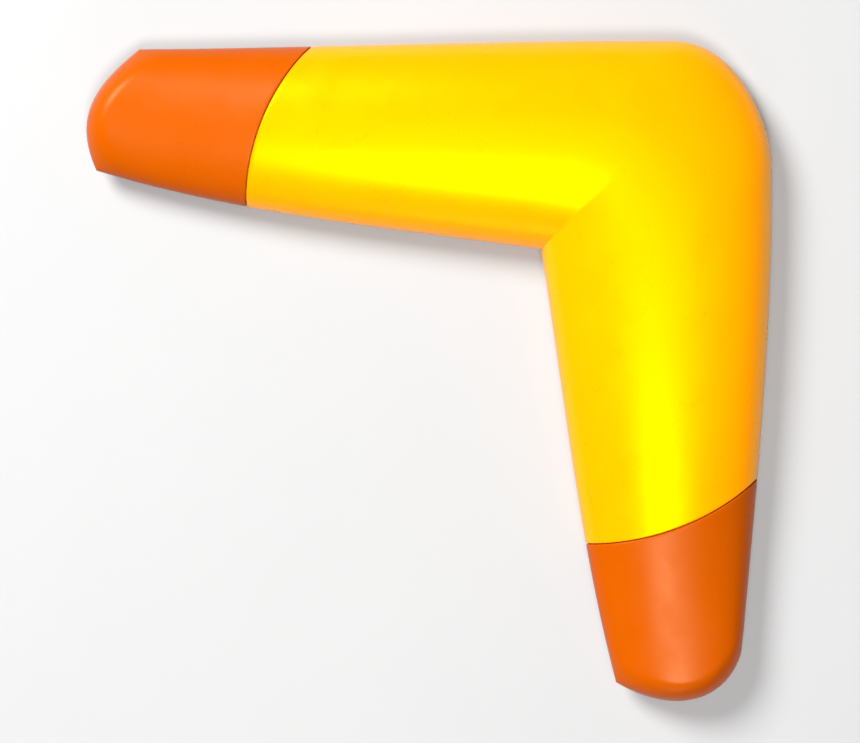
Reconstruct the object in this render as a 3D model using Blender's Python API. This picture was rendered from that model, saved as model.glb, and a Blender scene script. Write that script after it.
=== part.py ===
"""A plump toy boomerang: two moulded shells, slip-on tip caps, tip weights and screws.

It lies flat on its underside with +Z up. The elbow points along +Y and the tips reach out along -X and +X.
The origin is the middle of its bounding box, on the underside. All sizes are in metres.

Each arm is drawn in its own plan coordinates: "along" runs from the inner elbow corner towards the tip,
and "across" runs outwards over the arm's width. A plan map covers the arm: u is 0 on the elbow's middle
line, 1 at the cap's seam and 2 at the end of the tip, and v is 0 on the inner edge and 1 on the outer one.
"""

import math
from dataclasses import dataclass

import bmesh
import bpy
import numpy as np
from mathutils import Matrix, Vector

MM = 0.001

# Overall form
ELBOW_ANGLE = math.radians(90)  # between the two arms' along directions
ELBOW_REACH = 91.2 * MM  # inner elbow corner to outer apex
ELBOW_CROWN = 28 * MM  # heights of the crown above the underside
TIP_CROWN = 21 * MM
PARTING_HEIGHT = 10 * MM  # the widest outline, where the two shells meet
CROWN_EXPONENT = 2.1  # 2 is an ellipse, more is a flatter crown
EDGE_FILLET = 10 * MM  # how far the underside's rounding reaches in from the edge
TIP_ROUNDING = 8 * MM  # how far the tip's rounding reaches in from its end

# Shells
WALL = 2.0 * MM
GAP = 0.3 * MM  # between pieces that touch
LIP_THICKNESS = 0.8 * MM  # the lower shell's locating lip, inside the upper shell's rim
LIP_HEIGHT = 1.5 * MM
BEYOND = 60 * MM  # helper solids run on this far past what they are cut by

# Tip caps
CAP_WALL = 1.8 * MM
SEAM_SLANT = 23 * MM  # the seam meets the outer edge this much nearer the elbow
SEAM_BOW = 5.4 * MM
SPIGOT_SHORT_OF_TIP = 16 * MM  # the shells' spigot, which the cap covers, ends this far from the cap's end
SHOULDER_LEAD = 4 * MM  # the wall starts to step in this far before the seam

# Screws
SCREW_LENGTH = 12 * MM
SCREW_RADIUS = 1.3 * MM
HEAD_RADIUS = 2.7 * MM
HEAD_HEIGHT = 1.9 * MM
SCREW_PLAY = 0.3 * MM  # round a shank
DRIVER_PLAY = 0.6 * MM  # round a head in its counterbore
COUNTERBORE_DEPTH = 4.5 * MM
POST_WALL = 1.7 * MM  # round a counterbore or a pilot hole
PILOT_TAIL = 1.0 * MM  # the pilot hole runs on past the screw's point
CAP_SCREW_LENGTH = 9 * MM
CAP_SCREW_SET_BACK = 5.5 * MM  # from the seam
CAP_HEAD_RADIUS = 2.4 * MM
CAP_HEAD_HEIGHT = 1.5 * MM
HEAD_RIM = 0.15 * MM  # the upright edge of a countersunk head
ELBOW_SCREW_SHARES = (0.24, 0.76)  # how far across the elbow's middle line its two screws stand
ARM_SCREW_PLACES = {"near": 0.42, "far": 0.86}  # how far from the elbow to the seam each arm's screws stand
SCREW_TURN = math.radians(20)  # of the driver recesses
RECESS_DEPTH = 0.9 * MM  # of the driver recess in a pan head
RECESS_WIDTH = 3.2 * MM
CAP_RECESS_DEPTH = 0.8 * MM
CAP_RECESS_WIDTH = 2.6 * MM
RECESS_TAPER = 0.7  # how wide a recess is at its bottom, as a share of its mouth
RECESS_WIDTH_TO_SLOT = 4.5  # how many times wider a recess is than its slots
DOME_SHARE = 0.5  # how much of a pan head's height is its dome

# Tip weights
SLUG_RADIUS = 8 * MM
SLUG_SET_BACK = 21 * MM  # from the seam to the slug's centre
CRADLE_WALL = 1.6 * MM
CRADLE_HEIGHT = 4 * MM
CRADLE_FLOOR = 0.4 * MM  # the slug's seat stands this high above the shell's floor
PAD_RADIUS = 7 * MM
PAD_THICKNESS = 2 * MM
PRESS_POST_RADIUS = 3 * MM
PRESS_POST_LENGTH = 2.5 * MM
WEIGHT_CHAMFER = 0.4 * MM  # round the slugs' and the pads' edges

# Mesh steps
COLUMNS = 14
BODY_STATIONS = (0, 0.06, 0.13, 0.22, 0.33, 0.45, 0.57, 0.69, 0.8, 0.9)
SPIGOT_STEPS = 3
ROUNDING_STEPS = 4
SIDES = 20
SCREW_SIDES = 12
EDGE_POINTS = 160  # steps in each curve of the outline
ELBOW_POINTS = 60
WELD_DISTANCE = 0.001 * MM
NUDGE = 1e-4  # the small step in u and v that slopes are measured over
SHARP_ANGLE = math.radians(35)

SHELL_YELLOW = (1.0, 0.60, 0.0)
CAP_ORANGE = (0.90, 0.17, 0.01)
STEEL_GREY = (0.55, 0.56, 0.58)
FOAM_BLACK = (0.03, 0.03, 0.03)


@dataclass(frozen=True)
class Arm:
    """One arm's outline. Headings are in degrees from the along direction, turning outwards."""

    name: str
    side: int  # -1 towards -X, 1 towards +X
    length: float  # along, from the elbow's inner corner to the tip's inner corner
    tip_across: float  # the tip's inner corner has moved outwards this far
    tip_width: float
    tip_slant: float  # the outer edge ends this much sooner than the inner one
    cap_length: float  # along the inner edge
    elbow_radius: float
    inner_headings: tuple  # of the inner edge at its start and end
    outer_headings: tuple  # of the outer edge after the elbow's rounding and at its end
    tip_headings: tuple  # of the tip's end where it leaves the inner corner and meets the outer one


LEFT = Arm(
    name="left",
    side=-1,
    length=154.7 * MM,
    tip_across=27.3 * MM,
    tip_width=42.2 * MM,
    tip_slant=15.0 * MM,
    cap_length=52.4 * MM,
    elbow_radius=27 * MM,
    inner_headings=(8.1, 17.1),
    outer_headings=(0.4, -0.3),
    tip_headings=(65.5, 141),
)
RIGHT = Arm(
    name="right",
    side=1,
    length=150.7 * MM,
    tip_across=26.1 * MM,
    tip_width=43.6 * MM,
    tip_slant=10.2 * MM,
    cap_length=48.4 * MM,
    elbow_radius=53.8 * MM,
    inner_headings=(9.2, 14.8),
    outer_headings=(0.3, -5.3),
    tip_headings=(58.4, 162),
)
ARMS = (LEFT, RIGHT)
EDGE_HANDLE = 1 / 3  # how far each curve follows its end headings, as a share of its chord
TIP_HANDLE = 0.45
CREASE_SHARE = 0.75  # the elbow's crease fades out this far across the arm
SHALLOWEST_SINE = 0.7  # rows that meet an edge at a lower angle than this are spaced as if they met it so


# ---------------------------------------------------------------- plan outline


def direction(heading):
    return np.array([math.cos(heading), math.sin(heading)])


def bezier(start, end, headings, handle):
    """Points along a cubic curve between two points with the given end headings."""
    reach = handle * np.linalg.norm(end - start)
    leaving, arriving = (reach * direction(math.radians(heading)) for heading in headings)
    t = np.linspace(0, 1, EDGE_POINTS + 1)[:, None]
    weights = ((1 - t) ** 3, 3 * t * (1 - t) ** 2, 3 * t**2 * (1 - t), t**3)
    handles = (start, start + leaving, end - arriving, end)
    return sum(weight * point for weight, point in zip(weights, handles))


def inner_edge(arm):
    end = np.array([arm.length, arm.tip_across])
    return bezier(np.zeros(2), end, arm.inner_headings, EDGE_HANDLE)


def outer_edge(arm):
    """The elbow's rounding from the apex, then a shallow curve to the tip's outer corner."""
    half = ELBOW_ANGLE / 2
    apex_heading = math.pi / 2 - half
    apex = ELBOW_REACH * np.array([-math.cos(half), math.sin(half)])
    turn = np.linspace(apex_heading, math.radians(arm.outer_headings[0]), ELBOW_POINTS + 1)
    along = apex[0] + arm.elbow_radius * (math.sin(apex_heading) - np.sin(turn))
    across = apex[1] + arm.elbow_radius * (np.cos(turn) - math.cos(apex_heading))
    rounding = np.stack([along, across], axis=-1)
    end = np.array([arm.length - arm.tip_slant, arm.tip_across + arm.tip_width])
    return np.vstack([rounding, bezier(rounding[-1], end, arm.outer_headings, EDGE_HANDLE)[1:]])


def tip_end(arm):
    return bezier(inner_edge(arm)[-1], outer_edge(arm)[-1], arm.tip_headings, TIP_HANDLE)


INNER = {arm.name: inner_edge(arm) for arm in ARMS}
OUTER = {arm.name: outer_edge(arm) for arm in ARMS}
TIP_END = {arm.name: tip_end(arm) for arm in ARMS}


def in_plan(arm, points):
    """Arm coordinates turned into the X and Y of the whole boomerang, still centred on the elbow's corner."""
    half = ELBOW_ANGLE / 2
    along, across = points[..., 0], points[..., 1]
    x = arm.side * (along * math.sin(half) + across * math.cos(half))
    return np.stack([x, across * math.sin(half) - along * math.cos(half)], axis=-1)


def outline_middle():
    curves = [in_plan(arm, curve[arm.name]) for arm in ARMS for curve in (INNER, OUTER, TIP_END)]
    points = np.vstack(curves)
    return (points.min(axis=0) + points.max(axis=0)) / 2


MIDDLE = outline_middle()


def at_along(curve, along):
    """The curve's point at each distance along the arm."""
    return np.stack([along, np.interp(along, curve[:, 0], curve[:, 1])], axis=-1)


def mix(first, second, share):
    return first + (second - first) * share[..., None]


def smooth(share):
    share = np.clip(share, 0, 1)
    return share * share * (3 - 2 * share)


def seam_ends(arm):
    """Where the seam meets the two edges, as distances along the arm."""
    inner = arm.length - arm.cap_length
    return inner, inner - SEAM_SLANT


def seam_curve(arm, v):
    inner, outer = seam_ends(arm)
    start, end = at_along(INNER[arm.name], np.array(inner)), at_along(OUTER[arm.name], np.array(outer))
    chord = (end - start) / np.linalg.norm(end - start)
    bow = 4 * SEAM_BOW * v * (1 - v)
    return mix(start, end, v) + bow[..., None] * np.array([chord[1], -chord[0]])


def end_curve(arm, v):
    curve = TIP_END[arm.name]
    place = np.linspace(0, 1, len(curve))
    return np.stack([np.interp(v, place, curve[:, 0]), np.interp(v, place, curve[:, 1])], axis=-1)


def patch(edges, rungs, corners, u, v):
    """A surface patch between two edges and two rungs that meet at the corners.

    The blend across follows the outer edge from mid-width on, which keeps the elbow's crown
    and outer side smooth and leaves the crease only on the inner side.
    """
    along = smooth(u)
    across = smooth(v / CREASE_SHARE)
    edge_part = mix(edges[0], edges[1], across)
    rung_part = mix(rungs[0], rungs[1], along)
    corner_part = mix(mix(corners[0], corners[1], along), mix(corners[2], corners[3], along), across)
    return edge_part + rung_part - corner_part


def plan_point(arm, u, v):
    """The plan map. It takes arrays of u and v and gives arm coordinates."""
    u, v = np.broadcast_arrays(np.asarray(u, float), np.asarray(v, float))
    inner, outer = INNER[arm.name], OUTER[arm.name]
    seam_inner, seam_outer = seam_ends(arm)
    seam = [at_along(inner, np.array(seam_inner)), at_along(outer, np.array(seam_outer))]
    body_u, cap_u = np.clip(u, 0, 1), u - 1
    body_edges = (
        at_along(inner, seam_inner * body_u),
        at_along(outer, outer[0, 0] + (seam_outer - outer[0, 0]) * body_u),
    )
    body_rungs = (mix(inner[0], outer[0], v), seam_curve(arm, v))
    body = patch(body_edges, body_rungs, (inner[0], seam[0], outer[0], seam[1]), body_u, v)
    cap_edges = (
        at_along(inner, seam_inner + (arm.length - seam_inner) * cap_u),
        at_along(outer, seam_outer + (outer[-1, 0] - seam_outer) * cap_u),
    )
    cap_rungs = (seam_curve(arm, v), end_curve(arm, v))
    cap = patch(cap_edges, cap_rungs, (seam[0], inner[-1], seam[1], outer[-1]), cap_u, v)
    return np.where((u <= 1)[..., None], body, cap)


def slopes_of_plan(arm, u, v):
    """How far the plan point moves for one unit of u and of v, and the sine of the angle between the moves."""
    low_u, low_v = np.minimum(u, 2 - NUDGE), np.minimum(v, 1 - NUDGE)
    here = plan_point(arm, low_u, low_v)
    by_u = (plan_point(arm, low_u + NUDGE, low_v) - here) / NUDGE
    by_v = (plan_point(arm, low_u, low_v + NUDGE) - here) / NUDGE
    area = np.abs(by_u[..., 0] * by_v[..., 1] - by_u[..., 1] * by_v[..., 0])
    length_u, length_v = np.linalg.norm(by_u, axis=-1), np.linalg.norm(by_v, axis=-1)
    return length_u, length_v, area / (length_u * length_v)


def along_step(arm, u, v):
    """How far one unit of u moves square to the row, or nearly so where the row meets an edge at a low angle."""
    length_u, _, sine = slopes_of_plan(arm, u, v)
    return length_u * np.maximum(sine, SHALLOWEST_SINE)


def across_step(arm, u, v):
    """How far one unit of v moves square to the arm's edges."""
    _, length_v, sine = slopes_of_plan(arm, u, v)
    return length_v * sine


# ---------------------------------------------------------------- surfaces


def quarter_round(share):
    """0 at the edge of a rounding and 1 from its inner end on, rising as a quarter circle does."""
    rest = 1 - np.clip(share, 0, 1)
    return np.sqrt(1 - rest * rest)


def crown_height(u):
    return TIP_CROWN + (ELBOW_CROWN - TIP_CROWN) * (1 + np.cos(math.pi * u / 2)) / 2


def skin_row(arm, u, inset, face, from_end=None):
    """One row of points across the arm, on the surface that lies `inset` inside the outer one.

    `face` is 1 for the top and -1 for the underside. `from_end` is each point's distance from
    the end of that surface at the tip, where it rounds over.
    """
    share = across_shares()
    u = np.broadcast_to(np.asarray(u, float), share.shape)
    low = inset / across_step(arm, u, np.zeros_like(share))
    high = 1 - inset / across_step(arm, u, np.ones_like(share))
    v = low + (high - low) * share
    width = across_step(arm, u, v)
    end_round = 1.0
    if from_end is not None:
        reach = TIP_ROUNDING if face > 0 else EDGE_FILLET
        end_round = quarter_round(from_end / (reach - inset))
    if face > 0:
        rise = crown_height(u) - PARTING_HEIGHT - inset
        z = PARTING_HEIGHT + rise * np.sqrt(1 - np.abs(2 * share - 1) ** CROWN_EXPONENT) * end_round
    else:
        fillet = EDGE_FILLET - inset
        sides = quarter_round((v - low) * width / fillet) * quarter_round((high - v) * width / fillet)
        z = PARTING_HEIGHT - (PARTING_HEIGHT - inset) * sides * end_round
    return lay_out(arm, u, v, z)


def lay_out(arm, u, v, z):
    plan = in_plan(arm, plan_point(arm, u, v)) - MIDDLE
    return np.concatenate([plan, np.broadcast_to(z, v.shape)[..., None]], axis=-1)


def across_shares():
    """How far across each column lies, closer together towards the edges."""
    return (1 - np.cos(np.linspace(0, math.pi, COLUMNS + 1))) / 2


def beyond_seam(arm, distance, v):
    """The u that lies this distance past the seam, or before it where the distance is negative."""
    side = 1 + math.copysign(10 * NUDGE, distance)
    return 1 + distance / along_step(arm, np.full_like(v, side), v)


def before_end(arm, distance, v):
    """The u that lies this distance before the end of the tip."""
    return 2 - distance / along_step(arm, np.full_like(v, 2.0), v)


def spigot_stations(arm):
    """The u of each row past the seam to the spigot's end. The cap's rows lie at the same places."""
    end = before_end(arm, SPIGOT_SHORT_OF_TIP, across_shares())
    return [1 + (end - 1) * step / SPIGOT_STEPS for step in range(1, SPIGOT_STEPS + 1)]


def shell_rows(arm, face, cavity):
    """Rows from the elbow's middle line to the spigot's end, outside or in the cavity, without the end wall."""
    columns = across_shares()
    inset = CAP_WALL + GAP + (WALL if cavity else 0)
    body_inset = WALL if cavity else 0.0
    rows = [skin_row(arm, u, body_inset, face) for u in BODY_STATIONS]
    rows.append(skin_row(arm, beyond_seam(arm, -SHOULDER_LEAD, columns), body_inset, face))
    if cavity:
        rows.append(skin_row(arm, beyond_seam(arm, -SHOULDER_LEAD / 4, columns), inset, face))
        rows.append(skin_row(arm, beyond_seam(arm, SHOULDER_LEAD / 2, columns), inset, face))
    else:
        rows.append(skin_row(arm, np.ones_like(columns), 0.0, face))
        rows.append(skin_row(arm, np.ones_like(columns), inset, face))
    stations = spigot_stations(arm)
    if cavity:
        stations[-1] = before_end(arm, SPIGOT_SHORT_OF_TIP + WALL, columns)
    return rows + [skin_row(arm, u, inset, face) for u in stations]


def flattened(row, z):
    level = row.copy()
    level[:, 2] = z
    return level


def shell_grid(face, cavity, rim_height):
    """One skin of a shell over both arms, with its end walls and with its border at the rim's height.

    No point lies past the rim, so that where the crown is low the cavity still clears the other shell's lip.
    """
    halves = []
    for arm in ARMS:
        rows = shell_rows(arm, face, cavity)
        for row in rows:
            row[:, 2] = face * np.maximum(face * row[:, 2], face * rim_height)
            row[[0, -1], 2] = rim_height
        rows.append(flattened(rows[-1], rim_height))
        halves.append(rows)
    return np.array(halves[0][::-1] + halves[1][1:])


def border(grid):
    """The grid's border points in order. The two rows at each end share their corners."""
    last = len(grid) - 1
    sides = range(2, last - 1)
    return np.array(
        list(grid[0])
        + [grid[row, -1] for row in sides]
        + list(grid[last, ::-1])
        + [grid[row, 0] for row in reversed(sides)]
    )


# ---------------------------------------------------------------- mesh building


def material(name, color, roughness, metallic):
    made = bpy.data.materials.new(name)
    made.use_nodes = True
    shader = made.node_tree.nodes["Principled BSDF"]
    shader.inputs["Base Color"].default_value = (*color, 1)
    shader.inputs["Roughness"].default_value = roughness
    shader.inputs["Metallic"].default_value = metallic
    return made


def add_grid(bm, grid):
    corners = [[bm.verts.new(point) for point in row] for row in grid]
    for row, following in zip(corners, corners[1:]):
        for j in range(len(row) - 1):
            bm.faces.new((row[j], row[j + 1], following[j + 1], following[j]))


def add_band(bm, first, second):
    """A closed band of faces between two rings of points."""
    lower = [bm.verts.new(point) for point in first]
    upper = [bm.verts.new(point) for point in second]
    for j in range(len(lower)):
        bm.faces.new((lower[j - 1], lower[j], upper[j], upper[j - 1]))


def object_from(name, bm):
    bmesh.ops.remove_doubles(bm, verts=bm.verts, dist=WELD_DISTANCE)
    bmesh.ops.recalc_face_normals(bm, faces=bm.faces)
    mesh = bpy.data.meshes.new(name)
    bm.to_mesh(mesh)
    bm.free()
    mesh.shade_smooth()
    mesh.set_sharp_from_angle(angle=SHARP_ANGLE)
    made = bpy.data.objects.new(name, mesh)
    bpy.context.scene.collection.objects.link(made)
    return made


def as_helper(obj):
    obj.hide_render = True
    obj.display_type = "WIRE"
    return obj


def boolean(obj, operation, other):
    modifier = obj.modifiers.new(f"{operation.lower()} {other.name}", "BOOLEAN")
    modifier.operation = operation
    modifier.solver = "EXACT"
    modifier.object = other


def add_turned(bm, profile, centre, sides=SIDES):
    """A solid of revolution about a vertical line through `centre`, from (radius, height) points.

    Its flat ends are single faces. A point of radius 0 elsewhere is a pole.
    """
    rings = []
    for radius, height in profile:
        angles = [2 * math.pi * k / sides for k in range(sides)] if radius else [0]
        ring = [centre + radius * direction(angle) for angle in angles]
        rings.append([bm.verts.new((x, y, height)) for x, y in ring])
    for low, high in zip(rings, rings[1:]):
        for k in range(sides):
            following = (k + 1) % sides
            lower = [low[k % len(low)], low[following % len(low)]]
            upper = [high[following % len(high)], high[k % len(high)]]
            bm.faces.new(list(dict.fromkeys(lower + upper)))
    for ring in (rings[0], rings[-1]):
        if len(ring) > 1:
            bm.faces.new(ring)


def add_rod(bm, centre, radius, bottom, top):
    add_turned(bm, ((radius, bottom), (radius, top)), centre)


# ---------------------------------------------------------------- shells


def shell(name, face):
    """A shell with its rim: a stepped seat on the upper one, and the lip that fits it on the lower one."""
    rim_height = PARTING_HEIGHT + face * GAP / 2
    step_height = PARTING_HEIGHT + LIP_HEIGHT + (GAP if face > 0 else 0)
    outside = shell_grid(face, False, rim_height)
    inside = shell_grid(face, True, step_height)
    outer_ring, inner_ring = border(outside), border(inside)
    lip_start = 1 - LIP_THICKNESS / WALL
    share = lip_start - GAP / WALL if face > 0 else lip_start
    split = outer_ring + (inner_ring - outer_ring) * share
    low, high = flattened(split, rim_height), flattened(split, step_height)
    bm = bmesh.new()
    add_grid(bm, outside)
    add_grid(bm, inside)
    add_band(bm, outer_ring, low)
    add_band(bm, low, high)
    add_band(bm, high, inner_ring)
    return object_from(name, bm)


def mid_wall_core():
    """A closed solid up to the middle of the walls. Posts are trimmed to it, so that they end inside a wall."""
    bm = bmesh.new()
    for face in (1, -1):
        halves = []
        for arm in ARMS:
            rows = [skin_row(arm, u, WALL / 2, face) for u in BODY_STATIONS]
            inset = CAP_WALL + GAP + WALL / 2
            columns = across_shares()
            step_in = beyond_seam(arm, -SHOULDER_LEAD / 2, columns)
            end = before_end(arm, SPIGOT_SHORT_OF_TIP + WALL / 2, columns)
            rows += [skin_row(arm, u, inset, face) for u in (step_in, *spigot_stations(arm)[:-1], end)]
            rows.append(flattened(rows[-1], PARTING_HEIGHT))
            halves.append(rows)
        add_grid(bm, np.array(halves[0][::-1] + halves[1][1:]))
    return as_helper(object_from("mid_wall_core", bm))


# ---------------------------------------------------------------- where things go


def middle_of_arm(arm, u):
    return lay_out(arm, np.array([u]), np.array([0.5]), 0.0)[0, :2]


def past_seam(arm, distance):
    return middle_of_arm(arm, float(beyond_seam(arm, distance, np.array([0.5]))[0]))


def on_elbow_line(share):
    return lay_out(LEFT, np.array([0.0]), np.array([share]), 0.0)[0, :2]


def shell_screw_places():
    names = ("elbow_inner_screw", "elbow_outer_screw")
    places = {name: on_elbow_line(share) for name, share in zip(names, ELBOW_SCREW_SHARES)}
    for arm in ARMS:
        for place, u in ARM_SCREW_PLACES.items():
            places[f"{arm.name}_{place}_screw"] = middle_of_arm(arm, u)
    return places


def crown_past_seam(arm, distance):
    return float(crown_height(beyond_seam(arm, distance, np.array([0.5])))[0])


# ---------------------------------------------------------------- fasteners


def cross_recess(name, depth, width, face_height):
    """A cutter for a cross-shaped driver recess that opens downwards."""
    bm = bmesh.new()
    arm_half, slot_half = width / 2, width / RECESS_WIDTH_TO_SLOT / 2
    steps = ((arm_half, slot_half), (slot_half, slot_half), (slot_half, arm_half))
    outline = []
    for quarter in range(4):
        turn = Matrix.Rotation(quarter * math.pi / 2, 2)
        outline += [turn @ Vector(step) for step in steps]
    low = [bm.verts.new((x, y, face_height - depth)) for x, y in outline]
    high = [bm.verts.new((RECESS_TAPER * x, RECESS_TAPER * y, face_height + depth)) for x, y in outline]
    bm.faces.new(low)
    bm.faces.new(high)
    for k in range(len(low)):
        following = (k + 1) % len(low)
        bm.faces.new((low[k], low[following], high[following], high[k]))
    return as_helper(object_from(name, bm))


def screw_mesh(name, profile, recess):
    """A screw that points up from a driver recess. Its mesh is finished, so that copies can share it."""
    bm = bmesh.new()
    add_turned(bm, profile, np.zeros(2), SCREW_SIDES)
    made = object_from(name, bm)
    boolean(made, "DIFFERENCE", recess)
    graph = bpy.context.evaluated_depsgraph_get()
    finished = bpy.data.meshes.new_from_object(made.evaluated_get(graph))
    bpy.data.objects.remove(made)
    return finished


def pan_screw_profile():
    """The head's dome, its flat bearing face at height 0, the shank and the point."""
    turns = [math.radians(angle) for angle in (30, 50, 70, 90)]
    dome = [(HEAD_RADIUS * math.sin(a), -HEAD_HEIGHT * (1 - DOME_SHARE * (1 - math.cos(a)))) for a in turns]
    shank_end = SCREW_LENGTH - 2 * SCREW_RADIUS
    return [*dome, (HEAD_RADIUS, 0), (SCREW_RADIUS, 0), (SCREW_RADIUS, shank_end), (0, SCREW_LENGTH)]


def cap_screw_profile():
    """The flat head at height 0, its cone, the shank and the point."""
    shank_end = CAP_SCREW_LENGTH - 2 * SCREW_RADIUS
    return [(CAP_HEAD_RADIUS, 0), (CAP_HEAD_RADIUS, HEAD_RIM), (SCREW_RADIUS, CAP_HEAD_HEIGHT),
            (SCREW_RADIUS, shank_end), (0, CAP_SCREW_LENGTH)]


def place_screw(name, mesh, place, height, steel):
    made = bpy.data.objects.new(name, mesh)
    bpy.context.scene.collection.objects.link(made)
    made.location = (place[0], place[1], height)
    made.rotation_euler = (0, 0, SCREW_TURN)
    if not mesh.materials:
        mesh.materials.append(steel)
    return made


def add_shell_screws(upper, lower, core, steel):
    """Screws up through the lower shell's posts into the upper shell's bosses, with the holes they need."""
    seat = COUNTERBORE_DEPTH
    wide, narrow = HEAD_RADIUS + DRIVER_PLAY, SCREW_RADIUS + SCREW_PLAY
    places = shell_screw_places()
    bosses, posts, pilots, holes = bmesh.new(), bmesh.new(), bmesh.new(), bmesh.new()
    for place in places.values():
        add_rod(bosses, place, narrow + POST_WALL, PARTING_HEIGHT + GAP / 2, BEYOND)
        add_rod(posts, place, wide + POST_WALL, -BEYOND, PARTING_HEIGHT - GAP / 2)
        add_rod(pilots, place, narrow, 0, seat + SCREW_LENGTH + PILOT_TAIL)
        profile = ((wide, -BEYOND), (wide, seat), (narrow, seat), (narrow, BEYOND))
        add_turned(holes, profile, place)
    bosses, posts = (as_helper(object_from(n, b)) for n, b in (("bosses", bosses), ("posts", posts)))
    pilots, holes = (as_helper(object_from(n, b)) for n, b in (("pilot_holes", pilots), ("screw_holes", holes)))
    for piece, grown, cut in ((upper, bosses, pilots), (lower, posts, holes)):
        boolean(grown, "INTERSECT", core)
        boolean(piece, "UNION", grown)
        boolean(piece, "DIFFERENCE", cut)
    recess = cross_recess("pan_recess", RECESS_DEPTH, RECESS_WIDTH, -HEAD_HEIGHT)
    mesh = screw_mesh("pan_screw", pan_screw_profile(), recess)
    for name, place in places.items():
        place_screw(name, mesh, place, seat - GAP, steel)


def add_cap_screws(caps, lower, core, steel):
    """A countersunk screw through each cap's underside into a post on the lower shell's spigot."""
    posts, pilots = bmesh.new(), bmesh.new()
    recess = cross_recess("cap_recess", CAP_RECESS_DEPTH, CAP_RECESS_WIDTH, 0)
    mesh = screw_mesh("cap_screw", cap_screw_profile(), recess)
    wide, narrow = CAP_HEAD_RADIUS + SCREW_PLAY, SCREW_RADIUS + SCREW_PLAY
    mouth = GAP / 2 + HEAD_RIM
    profile = ((wide, -BEYOND), (wide, mouth), (narrow, mouth + CAP_HEAD_HEIGHT), (narrow, PARTING_HEIGHT))
    pilot_top = CAP_SCREW_LENGTH + PILOT_TAIL
    for arm, cap in zip(ARMS, caps):
        place = past_seam(arm, CAP_SCREW_SET_BACK)
        add_rod(posts, place, narrow + POST_WALL, -BEYOND, pilot_top + POST_WALL)
        add_rod(pilots, place, narrow, -BEYOND, pilot_top)
        sink = bmesh.new()
        add_turned(sink, profile, place)
        boolean(cap, "DIFFERENCE", as_helper(object_from(f"{arm.name}_countersink", sink)))
        place_screw(f"{arm.name}_cap_screw", mesh, place, GAP / 2, steel)
    posts, pilots = as_helper(object_from("cap_posts", posts)), as_helper(object_from("cap_pilots", pilots))
    boolean(posts, "INTERSECT", core)
    boolean(lower, "UNION", posts)
    boolean(lower, "DIFFERENCE", pilots)


# ---------------------------------------------------------------- caps and weights


def cap_skin(arm, face, inset):
    """Rows of one side of a cap from its rim to the tip, on the surface `inset` inside the outer one."""
    columns = across_shares()
    rounding = max(TIP_ROUNDING, EDGE_FILLET) - inset
    distances = [inset + rounding * (1 - math.sin(step / ROUNDING_STEPS * math.pi / 2))
                 for step in range(ROUNDING_STEPS + 1)]
    stations = [beyond_seam(arm, GAP, columns), *spigot_stations(arm)]
    stations += [before_end(arm, distance, columns) for distance in distances]
    end_step = along_step(arm, np.full_like(columns, 2.0), columns)
    return np.array([skin_row(arm, u, inset, face, (2 - u) * end_step - inset) for u in stations])


def tip_cap(arm):
    bm = bmesh.new()
    rims = []
    for inset in (0.0, CAP_WALL):
        top, underside = cap_skin(arm, 1, inset), cap_skin(arm, -1, inset)
        add_grid(bm, top)
        add_grid(bm, underside)
        rims.append(np.vstack([top[0], underside[0, -2:0:-1]]))
    add_band(bm, *rims)
    return object_from(f"{arm.name}_tip_cap", bm)


def add_weights(upper, lower, core, steel, foam):
    """A steel slug in a cradle near each tip, with a foam pad that the upper shell presses down."""
    floor = CAP_WALL + GAP + WALL
    cradles, wells, presses = bmesh.new(), bmesh.new(), bmesh.new()
    for arm in ARMS:
        place = past_seam(arm, SLUG_SET_BACK)
        ceiling = crown_past_seam(arm, SLUG_SET_BACK) - CAP_WALL - GAP - WALL
        slug_bottom = floor + CRADLE_FLOOR + GAP
        pad_top = ceiling - PRESS_POST_LENGTH - GAP
        slug_top = pad_top - PAD_THICKNESS - GAP
        add_rod(cradles, place, SLUG_RADIUS + GAP + CRADLE_WALL, -BEYOND, floor + CRADLE_HEIGHT)
        add_rod(wells, place, SLUG_RADIUS + GAP, slug_bottom - GAP, BEYOND)
        add_rod(presses, place, PRESS_POST_RADIUS, pad_top + GAP, BEYOND)
        for name, radius, bottom, top, stuff in (
            (f"{arm.name}_tip_weight", SLUG_RADIUS, slug_bottom, slug_top, steel),
            (f"{arm.name}_weight_pad", PAD_RADIUS, slug_top + GAP, pad_top, foam),
        ):
            edge = WEIGHT_CHAMFER
            profile = ((radius - edge, bottom), (radius, bottom + edge), (radius, top - edge), (radius - edge, top))
            bm = bmesh.new()
            add_turned(bm, profile, place)
            object_from(name, bm).data.materials.append(stuff)
    cradles, presses = as_helper(object_from("cradles", cradles)), as_helper(object_from("presses", presses))
    wells = as_helper(object_from("slug_wells", wells))
    for grown in (cradles, presses):
        boolean(grown, "INTERSECT", core)
    boolean(cradles, "DIFFERENCE", wells)
    boolean(lower, "UNION", cradles)
    boolean(upper, "UNION", presses)


def main():
    for obj in list(bpy.data.objects):
        bpy.data.objects.remove(obj)
    yellow = material("yellow_plastic", SHELL_YELLOW, 0.3, 0)
    orange = material("orange_plastic", CAP_ORANGE, 0.3, 0)
    steel = material("steel", STEEL_GREY, 0.35, 1)
    foam = material("foam", FOAM_BLACK, 0.9, 0)
    upper, lower = shell("upper_shell", 1), shell("lower_shell", -1)
    caps = [tip_cap(arm) for arm in ARMS]
    for piece, stuff in ((upper, yellow), (lower, yellow), (caps[0], orange), (caps[1], orange)):
        piece.data.materials.append(stuff)
    core = mid_wall_core()
    add_shell_screws(upper, lower, core, steel)
    add_cap_screws(caps, lower, core, steel)
    add_weights(upper, lower, core, steel, foam)


main()
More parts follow.
